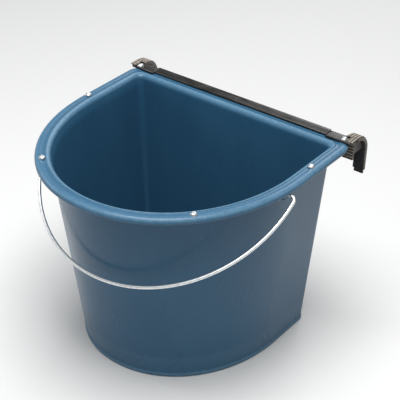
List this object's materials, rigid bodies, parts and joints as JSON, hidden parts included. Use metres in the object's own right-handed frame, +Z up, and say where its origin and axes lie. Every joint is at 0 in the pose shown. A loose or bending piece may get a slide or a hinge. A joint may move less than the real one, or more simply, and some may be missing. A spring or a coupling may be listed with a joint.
{
  "type": "feed bucket",
  "caption": "D-shaped plastic feed bucket with a flat back, rolled rim on a steel bow, wire bail and two rubber-covered hooks that hang it over a stall or trailer partition.",
  "frame": {"origin": "middle of the part's outline, on the surface the bucket's foot stands on", "axes": "+X along the partition, +Y towards the partition and the hooks, +Z up"},
  "size_m": [0.3748, 0.3756, 0.2991],
  "materials": {
    "bucket_plastic": "moulded polypropylene, satin gloss",
    "black_steel": "black powder coat",
    "bow_steel": "black dip coat",
    "sleeve_rubber": "ribbed matt rubber",
    "pad_rubber": "ribbed matt rubber",
    "rivet_aluminium": "plain bright",
    "zinc_steel": "bright zinc plate",
    "bail_wire": "bright galvanised drawn wire"
  },
  "bodies": {
    "bucket": {"back_rail": "black_steel", "bolt_nut_left": "zinc_steel", "bolt_nut_right": "zinc_steel", "bolt_washer_left": "zinc_steel", "bolt_washer_right": "zinc_steel", "bucket_shell": "bucket_plastic", "hook_bolt_left": "zinc_steel", "hook_bolt_right": "zinc_steel", "hook_left": "black_steel", "hook_pad_left": "pad_rubber", "hook_pad_right": "pad_rubber", "hook_right": "black_steel", "hook_sleeve_left": "sleeve_rubber", "hook_sleeve_right": "sleeve_rubber", "rim_rivet_left_front": "rivet_aluminium", "rim_rivet_left_rear": "rivet_aluminium", "rim_rivet_right_front": "rivet_aluminium", "rim_rivet_right_rear": "rivet_aluminium", "support_bow": "bow_steel"},
    "bail": {"bail_handle": "bail_wire"}
  },
  "joints": [
    {"name": "bail_hinge", "type": "hinge", "parent": "bucket", "child": "bail", "pos_m": [0, 0.00595, 0.2802], "axis": [-1, 0, 0], "range_deg": [-5.9, 196]}
  ]
}
